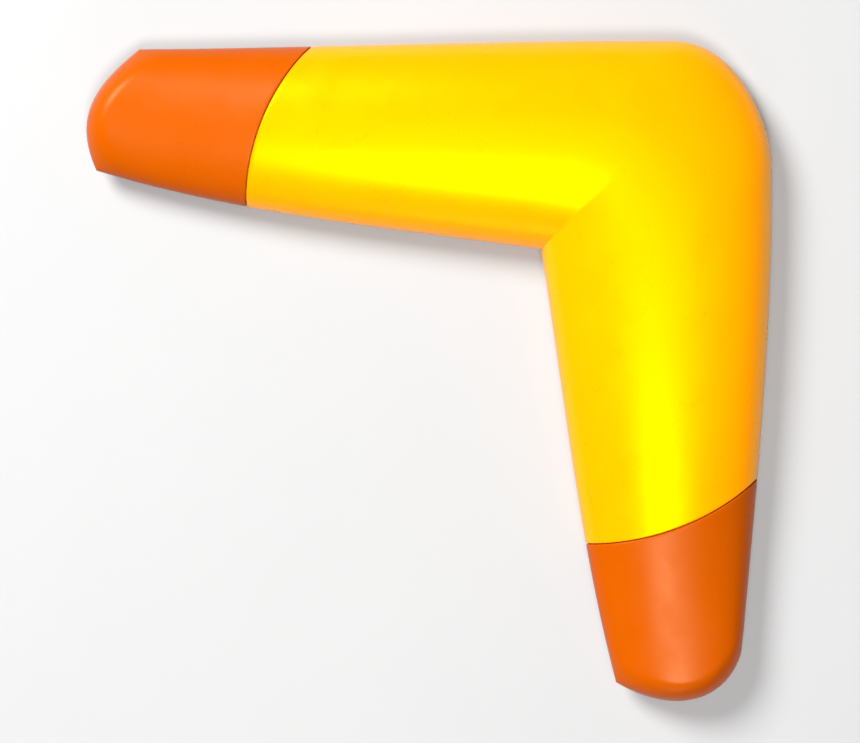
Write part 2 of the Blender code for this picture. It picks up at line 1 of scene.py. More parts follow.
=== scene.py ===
"""The visual model of a plump toy boomerang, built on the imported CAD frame.

The CAD shells, caps, screws, weights and pads are replaced by finer meshes of the same pieces, made
with the same plan map and sizes: dense moulded skins with rounded rims, threaded screws with cross
recesses, turned weights and foam pads. Every material is procedural. All sizes are in metres, and the
frame is the CAD model's: +Z up, the underside on Z = 0, the elbow towards +Y, the tips along -X and +X.
"""

import math
from dataclasses import dataclass

import bmesh
import bpy
import numpy as np
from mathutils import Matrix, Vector


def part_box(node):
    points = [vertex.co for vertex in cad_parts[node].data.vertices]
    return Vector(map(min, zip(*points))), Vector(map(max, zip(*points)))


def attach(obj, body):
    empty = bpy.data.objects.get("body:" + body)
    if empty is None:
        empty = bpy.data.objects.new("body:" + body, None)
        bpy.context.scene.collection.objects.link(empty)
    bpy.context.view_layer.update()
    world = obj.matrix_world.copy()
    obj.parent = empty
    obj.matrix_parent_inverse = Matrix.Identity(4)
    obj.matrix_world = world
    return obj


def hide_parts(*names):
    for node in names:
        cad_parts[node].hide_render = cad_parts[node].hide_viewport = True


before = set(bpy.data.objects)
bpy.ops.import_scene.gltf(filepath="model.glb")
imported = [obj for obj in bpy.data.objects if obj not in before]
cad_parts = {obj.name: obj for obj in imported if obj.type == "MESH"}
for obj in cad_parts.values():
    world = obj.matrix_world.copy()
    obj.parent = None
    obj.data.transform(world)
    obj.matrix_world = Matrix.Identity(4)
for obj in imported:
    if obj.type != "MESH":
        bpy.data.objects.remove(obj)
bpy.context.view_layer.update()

MM = 0.001

# Overall form
ELBOW_ANGLE = math.radians(90)
ELBOW_REACH = 91.2 * MM
ELBOW_CROWN = 28 * MM
TIP_CROWN = 21 * MM
PARTING_HEIGHT = 10 * MM
CROWN_EXPONENT = 2.1
EDGE_FILLET = 10 * MM
TIP_ROUNDING = 8 * MM

# Shells and caps
WALL = 2.0 * MM
GAP = 0.3 * MM
LIP_THICKNESS = 0.8 * MM
LIP_HEIGHT = 1.5 * MM
CAP_WALL = 1.8 * MM
SEAM_SLANT = 23 * MM
SEAM_BOW = 5.4 * MM
SPIGOT_SHORT_OF_TIP = 16 * MM
SHOULDER_LEAD = 4 * MM
RIM_ROUND = 0.35 * MM  # of the shells' rims along the parting line
SEAM_ROUND = 0.5 * MM  # of the cap's rim and of the shoulder that it meets

# Screws
SCREW_LENGTH = 12 * MM
SCREW_RADIUS = 1.3 * MM
HEAD_RADIUS = 2.7 * MM
HEAD_HEIGHT = 1.9 * MM
SCREW_PLAY = 0.3 * MM
DRIVER_PLAY = 0.6 * MM
COUNTERBORE_DEPTH = 4.5 * MM
POST_WALL = 1.7 * MM
PILOT_TAIL = 1.0 * MM
CAP_SCREW_LENGTH = 9 * MM
CAP_SCREW_SET_BACK = 5.5 * MM
CAP_HEAD_RADIUS = 2.4 * MM
CAP_HEAD_HEIGHT = 1.5 * MM
HEAD_RIM = 0.15 * MM
THREAD_PITCH = 0.9 * MM
THREAD_HEIGHT = 0.2 * MM
SCREW_TURN = math.radians(20)

# Tip weights
SLUG_RADIUS = 8 * MM
SLUG_SET_BACK = 21 * MM
CRADLE_WALL = 1.6 * MM
CRADLE_HEIGHT = 4 * MM
CRADLE_FLOOR = 0.4 * MM
PAD_RADIUS = 7 * MM
PAD_THICKNESS = 2 * MM
PRESS_POST_RADIUS = 3 * MM
PRESS_POST_LENGTH = 2.5 * MM

# Mesh steps
COLUMNS = 96
BODY_STEPS = 100
SPIGOT_STEPS = 8
CAP_STEPS = 44
TIP_STEPS = 22
ROUND_STEPS = 5
SIDES = 64


@dataclass(frozen=True)
class Arm:
    """One arm's outline. Headings are in degrees from the along direction, turning outwards."""

    name: str
    side: int
    length: float
    tip_across: float
    tip_width: float
    tip_slant: float
    cap_length: float
    elbow_radius: float
    inner_headings: tuple
    outer_headings: tuple
    tip_headings: tuple


LEFT = Arm(
    name="left",
    side=-1,
    length=154.7 * MM,
    tip_across=27.3 * MM,
    tip_width=42.2 * MM,
    tip_slant=15.0 * MM,
    cap_length=52.4 * MM,
    elbow_radius=27 * MM,
    inner_headings=(8.1, 17.1),
    outer_headings=(0.4, -0.3),
    tip_headings=(65.5, 141),
)
RIGHT = Arm(
    name="right",
    side=1,
    length=150.7 * MM,
    tip_across=26.1 * MM,
    tip_width=43.6 * MM,
    tip_slant=10.2 * MM,
    cap_length=48.4 * MM,
    elbow_radius=53.8 * MM,
    inner_headings=(9.2, 14.8),
    outer_headings=(0.3, -5.3),
    tip_headings=(58.4, 162),
)
ARMS = (LEFT, RIGHT)
EDGE_HANDLE = 1 / 3
TIP_HANDLE = 0.45


# ---------------------------------------------------------------- plan outline


def direction(heading):
    return np.array([math.cos(heading), math.sin(heading)])


def bezier(start, end, headings, handle):
    """Points along a cubic curve between two points with the given end headings."""
    reach = handle * np.linalg.norm(end - start)
    leaving, arriving = (reach * direction(math.radians(heading)) for heading in headings)
    t = np.linspace(0, 1, 641)[:, None]
    weights = ((1 - t) ** 3, 3 * t * (1 - t) ** 2, 3 * t**2 * (1 - t), t**3)
    return sum(weight * point for weight, point in zip(weights, (start, start + leaving, end - arriving, end)))


def inner_edge(arm):
    end = np.array([arm.length, arm.tip_across])
    return bezier(np.zeros(2), end, arm.inner_headings, EDGE_HANDLE)


def outer_edge(arm):
    """The elbow's rounding from the apex, then a shallow curve to the tip's outer corner."""
    half = ELBOW_ANGLE / 2
    apex_heading = math.pi / 2 - half
    apex = ELBOW_REACH * np.array([-math.cos(half), math.sin(half)])
    turn = np.linspace(apex_heading, math.radians(arm.outer_headings[0]), 241)
    along = apex[0] + arm.elbow_radius * (math.sin(apex_heading) - np.sin(turn))
    across = apex[1] + arm.elbow_radius * (np.cos(turn) - math.cos(apex_heading))
    rounding = np.stack([along, across], axis=-1)
    end = np.array([arm.length - arm.tip_slant, arm.tip_across + arm.tip_width])
    return np.vstack([rounding, bezier(rounding[-1], end, arm.outer_headings, EDGE_HANDLE)[1:]])


def tip_end(arm):
    return bezier(inner_edge(arm)[-1], outer_edge(arm)[-1], arm.tip_headings, TIP_HANDLE)


INNER = {arm.name: inner_edge(arm) for arm in ARMS}
OUTER = {arm.name: outer_edge(arm) for arm in ARMS}
TIP_END = {arm.name: tip_end(arm) for arm in ARMS}


def in_plan(arm, points):
    """Arm coordinates turned into the X and Y of the whole boomerang, still centred on the elbow's corner."""
    half = ELBOW_ANGLE / 2
    along, across = points[..., 0], points[..., 1]
    x = arm.side * (along * math.sin(half) + across * math.cos(half))
    return np.stack([x, across * math.sin(half) - along * math.cos(half)], axis=-1)


def outline_middle():
    curves = [in_plan(arm, curve[arm.name]) for arm in ARMS for curve in (INNER, OUTER, TIP_END)]
    points = np.vstack(curves)
    return (points.min(axis=0) + points.max(axis=0)) / 2


MIDDLE = outline_middle()


def at_along(curve, along):
    """The curve's point at each distance along the arm."""
    return np.stack([along, np.interp(along, curve[:, 0], curve[:, 1])], axis=-1)


def mix(first, second, share):
    return first + (second - first) * share[..., None]


def smooth(share):
    share = np.clip(share, 0, 1)
    return share * share * (3 - 2 * share)


def seam_ends(arm):
    """Where the seam meets the two edges, as distances along the arm."""
    inner = arm.length - arm.cap_length
    return inner, inner - SEAM_SLANT


def seam_curve(arm, v):
    inner, outer = seam_ends(arm)
    start, end = at_along(INNER[arm.name], np.array(inner)), at_along(OUTER[arm.name], np.array(outer))
    chord = (end - start) / np.linalg.norm(end - start)
    bow = 4 * SEAM_BOW * v * (1 - v)
    return mix(start, end, v) + bow[..., None] * np.array([chord[1], -chord[0]])


def end_curve(arm, v):
    curve = TIP_END[arm.name]
    place = np.linspace(0, 1, len(curve))
    return np.stack([np.interp(v, place, curve[:, 0]), np.interp(v, place, curve[:, 1])], axis=-1)


def patch(edges, rungs, corners, u, v):
    """A surface patch between two edges and two rungs that meet at the corners.

    The blend across follows the outer edge from mid-width on, which keeps the elbow's crown
    and outer side smooth and leaves the crease only on the inner side.
    """
    along = smooth(u)
    across = smooth(v / 0.75)
    edge_part = mix(edges[0], edges[1], across)
    rung_part = mix(rungs[0], rungs[1], along)
    corner_part = mix(mix(corners[0], corners[1], along), mix(corners[2], corners[3], along), across)
    return edge_part + rung_part - corner_part


def plan_point(arm, u, v):
    """The plan map. It takes arrays of u and v and gives arm coordinates."""
    u, v = np.broadcast_arrays(np.asarray(u, float), np.asarray(v, float))
    inner, outer = INNER[arm.name], OUTER[arm.name]
    seam_inner, seam_outer = seam_ends(arm)
    seam = [at_along(inner, np.array(seam_inner)), at_along(outer, np.array(seam_outer))]
    body_u, cap_u = np.clip(u, 0, 1), u - 1
    body_edges = (
        at_along(inner, seam_inner * body_u),
        at_along(outer, outer[0, 0] + (seam_outer - outer[0, 0]) * body_u),
    )
    body_rungs = (mix(inner[0], outer[0], v), seam_curve(arm, v))
    body = patch(body_edges, body_rungs, (inner[0], seam[0], outer[0], seam[1]), body_u, v)
    cap_edges = (
        at_along(inner, seam_inner + (arm.length - seam_inner) * cap_u),
        at_along(outer, seam_outer + (outer[-1, 0] - seam_outer) * cap_u),
    )
    cap_rungs = (seam_curve(arm, v), end_curve(arm, v))
    cap = patch(cap_edges, cap_rungs, (seam[0], inner[-1], seam[1], outer[-1]), cap_u, v)
    return np.where((u <= 1)[..., None], body, cap)


def slopes_of_plan(arm, u, v):
    """How far the plan point moves for one unit of u and of v, and the sine of the angle between the moves."""
    nudge = 1e-4
    low_u, low_v = np.minimum(u, 2 - nudge), np.minimum(v, 1 - nudge)
    here = plan_point(arm, low_u, low_v)
    by_u = (plan_point(arm, low_u + nudge, low_v) - here) / nudge
    by_v = (plan_point(arm, low_u, low_v + nudge) - here) / nudge
    area = np.abs(by_u[..., 0] * by_v[..., 1] - by_u[..., 1] * by_v[..., 0])
    length_u, length_v = np.linalg.norm(by_u, axis=-1), np.linalg.norm(by_v, axis=-1)
    return length_u, length_v, area / (length_u * length_v)


def along_step(arm, u, v):
    """How far one unit of u moves square to the row, or nearly so where the row meets an edge at a low angle."""
    length_u, _, sine = slopes_of_plan(arm, u, v)
    return length_u * np.maximum(sine, 0.7)


def across_step(arm, u, v):
    """How far one unit of v moves square to the arm's edges."""
    _, length_v, sine = slopes_of_plan(arm, u, v)
    return length_v * sine


# ---------------------------------------------------------------- surfaces


def quarter_round(share):
    """0 at the edge of a rounding and 1 from its inner end on, rising as a quarter circle does."""
    rest = 1 - np.clip(share, 0, 1)
    return np.sqrt(1 - rest * rest)


def crown_height(u):
    return TIP_CROWN + (ELBOW_CROWN - TIP_CROWN) * (1 + np.cos(math.pi * u / 2)) / 2


def across_shares():
    """How far across each column lies, closer together towards the edges."""
    first = 0.06
    turns = np.linspace(first, math.pi - first, COLUMNS - 1)
    return np.concatenate([[0], (1 - np.cos(turns)) / 2, [1]])


SHARES = across_shares()


def skin_row(arm, u, inset, face, from_end=None):
    """One row of points across the arm, on the surface that lies `inset` inside the outer one.

    `face` is 1 for the top and -1 for the underside. `from_end` is each point's distance from
    the end of that surface at the tip, where it rounds over.
    """
    u = np.broadcast_to(np.asarray(u, float), SHARES.shape)
    low = inset / across_step(arm, u, np.zeros_like(SHARES))
    high = 1 - inset / across_step(arm, u, np.ones_like(SHARES))
    v = low + (high - low) * SHARES
    width = across_step(arm, u, v)
    end_round = 1.0
    if from_end is not None:
        reach = TIP_ROUNDING if face > 0 else EDGE_FILLET
        end_round = quarter_round(from_end / (reach - inset))
    if face > 0:
        rise = crown_height(u) - PARTING_HEIGHT - inset
        z = PARTING_HEIGHT + rise * np.sqrt(1 - np.abs(2 * SHARES - 1) ** CROWN_EXPONENT) * end_round
    else:
        fillet = EDGE_FILLET - inset
        sides = quarter_round((v - low) * width / fillet) * quarter_round((high - v) * width / fillet)
        z = PARTING_HEIGHT - (PARTING_HEIGHT - inset) * sides * end_round
    return lay_out(arm, u, v, z)


def lay_out(arm, u, v, z):
    plan = in_plan(arm, plan_point(arm, u, v)) - MIDDLE
    return np.concatenate([plan, np.broadcast_to(z, v.shape)[..., None]], axis=-1)


def beyond_seam(arm, distance, v=SHARES):
    """The u that lies this distance past the seam, or before it where the distance is negative."""
    side = 1 + math.copysign(1e-3, distance)
    return 1 + distance / along_step(arm, np.full_like(v, side), v)


def before_end(arm, distance, v=SHARES):
    """The u that lies this distance before the end of the tip."""
    return 2 - distance / along_step(arm, np.full_like(v, 2.0), v)


def shoulder_rows(cavity):
    """How far past the seam each row of the shoulder lies, and its inset."""
    step_in = CAP_WALL + GAP
    approach = np.linspace(-SHOULDER_LEAD, -SEAM_ROUND, ROUND_STEPS)
    turns = np.linspace(0, math.pi / 2, ROUND_STEPS + 1)[1:]
    if not cavity:
        rows = [(distance, 0.0) for distance in approach]
        rows += [(-SEAM_ROUND * (1 - math.sin(t)), SEAM_ROUND * (1 - math.cos(t))) for t in turns]
        return rows + [(0.0, step_in)]
    distances = np.linspace(-SHOULDER_LEAD, SHOULDER_LEAD / 2, 2 * ROUND_STEPS + 1)
    ramp = 0.75 * SHOULDER_LEAD
    return [(d, WALL + step_in * float(smooth((d + SHOULDER_LEAD) / ramp))) for d in distances]


def shell_rows(arm, face, cavity):
    """Rows from the elbow's middle line to the spigot's end, outside or in the cavity, without the end wall."""
    body_inset = WALL if cavity else 0.0
    spigot_inset = CAP_WALL + GAP + body_inset
    start = beyond_seam(arm, -SHOULDER_LEAD)
    rows = [skin_row(arm, start * step / BODY_STEPS, body_inset, face) for step in range(BODY_STEPS)]
    rows += [skin_row(arm, beyond_seam(arm, d), inset, face) for d, inset in shoulder_rows(cavity)]
    end = before_end(arm, SPIGOT_SHORT_OF_TIP + (WALL if cavity else 0))
    for step in range(1, SPIGOT_STEPS + 1):
        rows.append(skin_row(arm, 1 + (end - 1) * step / SPIGOT_STEPS, spigot_inset, face))
    return rows


def flattened(row, z):
    level = row.copy()
    level[:, 2] = z
    return level


def shell_grid(face, cavity, rim_height):
    """One skin of a shell over both arms, with its end walls and with its border at the rim's height."""
    halves = []
    for arm in ARMS:
        rows = shell_rows(arm, face, cavity)
        for row in rows:
            row[[0, -1], 2] = rim_height
        rows.append(flattened(rows[-1], rim_height))
        halves.append(rows)
    return np.array(halves[0][::-1] + halves[1][1:])


def border(grid):
    """The grid's border points in order. The two rows at each end share their corners."""
    last = len(grid) - 1
    sides = range(2, last - 1)
    return np.array(
        list(grid[0])
        + [grid[row, -1] for row in sides]
        + list(grid[last, ::-1])
        + [grid[row, 0] for row in reversed(sides)]
    )


# ---------------------------------------------------------------- mesh building


def add_grid(bm, grid):
    corners = [[bm.verts.new(point) for point in row] for row in grid]
    for row, following in zip(corners, corners[1:]):
        for j in range(len(row) - 1):
            bm.faces.new((row[j], row[j + 1], following[j + 1], following[j]))


def add_bands(bm, rings):
    loops = [[bm.verts.new(point) for point in ring] for ring in rings]
    for low, high in zip(loops, loops[1:]):
        for j in range(len(low)):
            bm.faces.new((low[j - 1], low[j], high[j], high[j - 1]))


def mesh_from(name, bm):
    bmesh.ops.remove_doubles(bm, verts=bm.verts, dist=1e-6)
    bmesh.ops.recalc_face_normals(bm, faces=bm.faces)
    mesh = bpy.data.meshes.new(name)
    bm.to_mesh(mesh)
    bm.free()
    return mesh


def object_from(name, bm):
    made = bpy.data.objects.new(name, mesh_from(name, bm))
    bpy.context.scene.collection.objects.link(made)
    return made


def boolean(obj, operation, other):
    modifier = obj.modifiers.new(operation.lower(), "BOOLEAN")
    modifier.operation = operation
    modifier.solver = "MANIFOLD"
    modifier.object = other
    other.hide_render = True


def settle(obj, sharp_angle=35):
    """Applies the modifiers, removes the cutters they used, and shades the result."""
    graph = bpy.context.evaluated_depsgraph_get()
    finished = bpy.data.meshes.new_from_object(obj.evaluated_get(graph))
    cutters = {modifier.object for modifier in obj.modifiers}
    obj.modifiers.clear()
    obj.data = finished
    for cutter in cutters:
        bpy.data.objects.remove(cutter)
    finished.shade_smooth()
    finished.set_sharp_from_angle(angle=math.radians(sharp_angle))
    return obj


def add_turned(bm, profile, centre=(0, 0), sides=SIDES, ridge=None):
    """A solid of revolution about a vertical line through `centre`, from (radius, height) points.

    `ridge` gives how far a point stands out from its radius, for an angle and a height.
    """
    rings = []
    for radius, height in profile:
        angles = [2 * math.pi * k / sides for k in range(sides)] if radius else [0]
        out = [radius + (ridge(a, height) if ridge else 0) for a in angles]
        ring = [(centre[0] + r * math.cos(a), centre[1] + r * math.sin(a), height) for r, a in zip(out, angles)]
        rings.append([bm.verts.new(point) for point in ring])
    for low, high in zip(rings, rings[1:]):
        for k in range(sides):
            following = (k + 1) % sides
            loop = [low[k % len(low)], low[following % len(low)], high[following % len(high)], high[k % len(high)]]
            bm.faces.new(list(dict.fromkeys(loop)))
    for ring in (rings[0], rings[-1]):
        if len(ring) > 1:
            bm.faces.new(ring)


def add_rod(bm, centre, radius, bottom, top):
    add_turned(bm, ((radius, bottom), (radius, top)), centre)


# ---------------------------------------------------------------- shells and caps


def shell(name, face):
    """A shell with a rounded rim: a stepped seat on the upper one, and the lip that fits it on the lower one."""
    rim_height = PARTING_HEIGHT + face * GAP / 2
    step_height = PARTING_HEIGHT + LIP_HEIGHT + (GAP if face > 0 else 0)
    outside = shell_grid(face, False, rim_height + face * RIM_ROUND)
    inside = shell_grid(face, True, step_height)
    outer_ring, inner_ring = border(outside), border(inside)
    rings = [outer_ring]
    for turn in np.linspace(0, math.pi / 2, ROUND_STEPS + 1)[1:]:
        share = RIM_ROUND * (1 - math.cos(turn)) / WALL
        height = rim_height + face * RIM_ROUND * (1 - math.sin(turn))
        rings.append(flattened(outer_ring + (inner_ring - outer_ring) * share, height))
    lip_start = 1 - LIP_THICKNESS / WALL
    share = lip_start - GAP / WALL if face > 0 else lip_start
    split = outer_ring + (inner_ring - outer_ring) * share
    rings += [flattened(split, rim_height), flattened(split, step_height), inner_ring]
    bm = bmesh.new()
    add_grid(bm, outside)
    add_grid(bm, inside)
    add_bands(bm, rings)
    return object_from(name, bm)


def mid_wall_core():
    """A closed solid up to the middle of the walls. Posts are trimmed to it, so that they end inside a wall."""
    bm = bmesh.new()
    for face in (1, -1):
        halves = []
        for arm in ARMS:
            start = beyond_seam(arm, -SHOULDER_LEAD)
            rows = [skin_row(arm, start * step / SPIGOT_STEPS, WALL / 2, face) for step in range(SPIGOT_STEPS + 1)]
            inset = CAP_WALL + GAP + WALL / 2
            end = before_end(arm, SPIGOT_SHORT_OF_TIP + WALL / 2)
            rows.append(skin_row(arm, beyond_seam(arm, -SHOULDER_LEAD / 2), inset, face))
            rows += [skin_row(arm, 1 + (end - 1) * step / SPIGOT_STEPS, inset, face) for step in range(1, SPIGOT_STEPS + 1)]
            rows.append(flattened(rows[-1], PARTING_HEIGHT))
            halves.append(rows)
        add_grid(bm, np.array(halves[0][::-1] + halves[1][1:]))
    return object_from("mid_wall_core", bm)


def cap_skin(arm, face, inset):
    """Rows of one side of a cap from its rim to the tip. The outer skin starts with the rim's rounding."""
    rows = []
    for turn in np.linspace(0, math.pi / 2, ROUND_STEPS + 1):
        rim_inset = inset if inset else SEAM_ROUND * (1 - math.sin(turn))
        distance = GAP + SEAM_ROUND * (1 - math.cos(turn))
        rows.append(skin_row(arm, beyond_seam(arm, distance), rim_inset, face))
    start = beyond_seam(arm, GAP + SEAM_ROUND)
    rounding = max(TIP_ROUNDING, EDGE_FILLET) - inset
    middle_end = before_end(arm, inset + rounding)
    stations = [start + (middle_end - start) * step / CAP_STEPS for step in range(1, CAP_STEPS)]
    turns = np.linspace(0, math.pi / 2, TIP_STEPS + 1)
    stations += [before_end(arm, inset + rounding * (1 - math.sin(turn))) for turn in turns]
    end_step = along_step(arm, np.full_like(SHARES, 2.0), SHARES)
    rows += [skin_row(arm, u, inset, face, (2 - u) * end_step - inset) for u in stations]
    return np.array(rows)


def tip_cap(arm):
    bm = bmesh.new()
    rims = []
    for inset in (0.0, CAP_WALL):
        top, underside = cap_skin(arm, 1, inset), cap_skin(arm, -1, inset)
        add_grid(bm, top)
        add_grid(bm, underside)
        rims.append(np.vstack([top[0], underside[0, -2:0:-1]]))
    add_bands(bm, rims)
    return object_from(f"{arm.name}_cap", bm)


# ---------------------------------------------------------------- where things go


def middle_of_arm(arm, u):
    return lay_out(arm, np.array([u]), np.array([0.5]), 0.0)[0, :2]


def past_seam(arm, distance):
    return middle_of_arm(arm, float(beyond_seam(arm, distance, np.array([0.5]))[0]))


def centre_of(node):
    """The middle of a CAD node's box, in plan."""
    low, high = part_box(node)
    return ((low[0] + high[0]) / 2, (low[1] + high[1]) / 2)


SHELL_SCREWS = [f"{place}_screw" for place in ("elbow_inner", "elbow_outer", "left_near", "left_far",
                                               "right_near", "right_far")]


def crown_past_seam(arm, distance):
    return float(crown_height(beyond_seam(arm, distance, np.array([0.5])))[0])


# ---------------------------------------------------------------- fasteners and weights


def cross_recess(depth, width, face_height):
    """A cutter for a cross-shaped driver recess that opens downwards and narrows as it goes in."""
    bm = bmesh.new()
    arm_half, slot_half = width / 2, width / 9
    steps = ((arm_half, slot_half), (slot_half, slot_half), (slot_half, arm_half))
    outline = []
    for quarter in range(4):
        turn = quarter * math.pi / 2
        for x, y in steps:
            outline.append((x * math.cos(turn) - y * math.sin(turn), x * math.sin(turn) + y * math.cos(turn)))
    levels = ((1.25, face_height - depth), (1.0, face_height), (0.55, face_height + depth))
    loops = [[bm.verts.new((scale * x, scale * y, z)) for x, y in outline] for scale, z in levels]
    for low, high in zip(loops, loops[1:]):
        for k in range(len(low)):
            bm.faces.new((low[k - 1], low[k], high[k], high[k - 1]))
    bm.faces.new(loops[0])
    bm.faces.new(loops[-1])
    return object_from("recess", bm)


def thread(angle, height):
    """How far a screw's thread stands out at an angle and a height, fading at its start."""
    phase = (height / THREAD_PITCH - angle / (2 * math.pi)) % 1
    return THREAD_HEIGHT * max(0.0, 1 - abs(phase - 0.5) / 0.3) * min(1.0, max(0.0, height / THREAD_PITCH - 1))


def threaded_screw(name, head, length, recess):
    """A screw that points up: its head's profile, then a threaded shank and a point."""
    shank_end = length - 2 * SCREW_RADIUS
    count = int(shank_end / THREAD_PITCH * 9)
    start = max(height for _, height in head)
    heights = np.linspace(start, shank_end, count + 1)
    shank = [(SCREW_RADIUS, float(height)) for height in heights]
    point_heights = np.linspace(shank_end, length, 20)[1:-1]
    point = [(SCREW_RADIUS * (length - z) / (length - shank_end), float(z)) for z in point_heights]
    bm = bmesh.new()

    def stands_out(angle, height):
        fade = min(1.0, (length - height) / (length - shank_end))
        return thread(angle, height - start) * fade

    add_turned(bm, head + shank[1 if head[-1] == shank[0] else 0:] + point + [(0, length)], sides=36, ridge=stands_out)
    made = object_from(name, bm)
    boolean(made, "DIFFERENCE", recess)
    return settle(made, 30)


def pan_head():
    """The dome with its rounded rim, and the flat bearing face at height 0."""
    dome_share = 0.5
    flat = [math.radians(angle) for angle in range(12, 91, 6)]
    dome = [(HEAD_RADIUS * math.sin(a), -HEAD_HEIGHT * (1 - dome_share * (1 - math.cos(a)))) for a in flat]
    return [*dome, (HEAD_RADIUS, -0.1 * MM), (HEAD_RADIUS - 0.1 * MM, 0), (SCREW_RADIUS, 0)]


def countersunk_head():
    """The flat head at height 0, its rim and its cone."""
    chamfer = 0.05 * MM
    return [(CAP_HEAD_RADIUS - chamfer, 0), (CAP_HEAD_RADIUS, chamfer), (CAP_HEAD_RADIUS, HEAD_RIM),
            (SCREW_RADIUS, CAP_HEAD_HEIGHT)]


def place_screws(pattern, names, height, steel):
    for name in names:
        made = bpy.data.objects.new(f"{name}_fine", pattern.data)
        bpy.context.scene.collection.objects.link(made)
        made.location = (*centre_of(name), height)
        made.rotation_euler = (0, 0, SCREW_TURN)
        stand_for(made, name, steel)
    bpy.data.objects.remove(pattern)


def shell_screw_bores(upper, lower):
    """Adds the posts and bosses that the shell screws run in, and cuts their holes with softened mouths."""
    seat = COUNTERBORE_DEPTH
    ease = 0.4 * MM
    wide, narrow = HEAD_RADIUS + DRIVER_PLAY, SCREW_RADIUS + SCREW_PLAY
    bosses, posts, pilots, holes = bmesh.new(), bmesh.new(), bmesh.new(), bmesh.new()
    for name in SHELL_SCREWS:
        place = centre_of(name)
        add_rod(bosses, place, SCREW_RADIUS + SCREW_PLAY + POST_WALL, PARTING_HEIGHT + GAP / 2, 2 * ELBOW_CROWN)
        add_rod(posts, place, HEAD_RADIUS + DRIVER_PLAY + POST_WALL, -ELBOW_CROWN, PARTING_HEIGHT - GAP / 2)
        add_rod(pilots, place, narrow, 0, seat + SCREW_LENGTH + PILOT_TAIL)
        mouth = [(wide + ease * (1 - math.sin(t)), ease * (1 - math.cos(t))) for t in np.linspace(0, math.pi / 2, 5)]
        profile = [(wide + ease, -seat), *mouth, (wide, seat), (narrow, seat), (narrow, 2 * PARTING_HEIGHT)]
        add_turned(holes, profile, place)
    for piece, grown, cut in ((upper, bosses, pilots), (lower, posts, holes)):
        grown = object_from("posts", grown)
        boolean(grown, "INTERSECT", mid_wall_core())
        boolean(piece, "UNION", settle(grown))
        boolean(piece, "DIFFERENCE", object_from("holes", cut))


def cap_screw_bores(caps, lower):
    """Cuts each cap's countersink, and adds the post on the lower shell that its screw bites into."""
    posts, pilots = bmesh.new(), bmesh.new()
    wide, narrow = CAP_HEAD_RADIUS + SCREW_PLAY, SCREW_RADIUS + SCREW_PLAY
    for arm, cap in zip(ARMS, caps):
        place = centre_of(f"{arm.name}_cap_screw")
        post_top = CAP_SCREW_LENGTH + PILOT_TAIL + POST_WALL
        add_rod(posts, place, narrow + POST_WALL, -PARTING_HEIGHT, post_top)
        add_rod(pilots, place, narrow, -PARTING_HEIGHT, CAP_SCREW_LENGTH + PILOT_TAIL)
        sink = bmesh.new()
        mouth = GAP / 2 + HEAD_RIM
        profile = ((wide, -CAP_WALL), (wide, mouth), (narrow, mouth + CAP_HEAD_HEIGHT), (narrow, 2 * CAP_WALL))
        add_turned(sink, profile, place)
        boolean(cap, "DIFFERENCE", object_from("countersink", sink))
    posts = object_from("cap_posts", posts)
    boolean(posts, "INTERSECT", mid_wall_core())
    boolean(lower, "UNION", settle(posts))
    boolean(lower, "DIFFERENCE", object_from("cap_pilots", pilots))


def soft_edged_disc(name, radius, bottom, top, edge, place):
    """A disc with rounded edges and faces made of rings, so that it can be shaded finely."""
    turns = np.linspace(0, math.pi / 2, 7)
    under = [(radius - edge * (1 - math.sin(t)), bottom + edge * (1 - math.cos(t))) for t in turns]
    over = [(r, top + bottom - z) for r, z in reversed(under)]
    faces = [radius * share for share in (0.25, 0.5, 0.75)]
    bm = bmesh.new()
    add_turned(bm, [(r, bottom) for r in faces] + under + over + [(r, top) for r in reversed(faces)], place)
    made = object_from(name, bm)
    return settle(made, 40)


def weight_fittings(upper, lower):
    """Adds the cradles that hold the tip weights and the posts that press their pads down."""
    floor = CAP_WALL + GAP + WALL
    cradles, wells, presses = bmesh.new(), bmesh.new(), bmesh.new()
    for arm in ARMS:
        place = centre_of(f"{arm.name}_tip_weight")
        slug_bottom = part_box(f"{arm.name}_tip_weight")[0][2]
        pad_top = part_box(f"{arm.name}_weight_pad")[1][2]
        add_rod(cradles, place, SLUG_RADIUS + GAP + CRADLE_WALL, -PARTING_HEIGHT, floor + CRADLE_HEIGHT)
        add_rod(wells, place, SLUG_RADIUS + GAP, slug_bottom - GAP, 2 * ELBOW_CROWN)
        add_rod(presses, place, PRESS_POST_RADIUS, pad_top + GAP, 2 * ELBOW_CROWN)
    cradles, presses = object_from("cradles", cradles), object_from("presses", presses)
    for grown in (cradles, presses):
        boolean(grown, "INTERSECT", mid_wall_core())
    boolean(cradles, "DIFFERENCE", object_from("wells", wells))
    boolean(lower, "UNION", settle(cradles))
    boolean(upper, "UNION", settle(presses))


def add_weights(steel, foam):
    for arm in ARMS:
        for part, edge, slot, stuff in (("tip_weight", 0.4 * MM, "steel", steel), ("weight_pad", 0.6 * MM, "foam", foam)):
            node = f"{arm.name}_{part}"
            low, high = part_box(node)
            radius = SLUG_RADIUS if part == "tip_weight" else PAD_RADIUS
            made = soft_edged_disc(f"{node}_fine", radius, low[2], high[2], edge, centre_of(node))
            stand_for(made, node, stuff)


# ---------------------------------------------------------------- materials


def new_material(name, roughness, metallic=0.0):
    made = bpy.data.materials.new(name)
    made.use_nodes = True
    tree = made.node_tree
    shader = tree.nodes["Principled BSDF"]
    shader.inputs["Roughness"].default_value = roughness
    shader.inputs["Metallic"].default_value = metallic
    return made, tree, shader


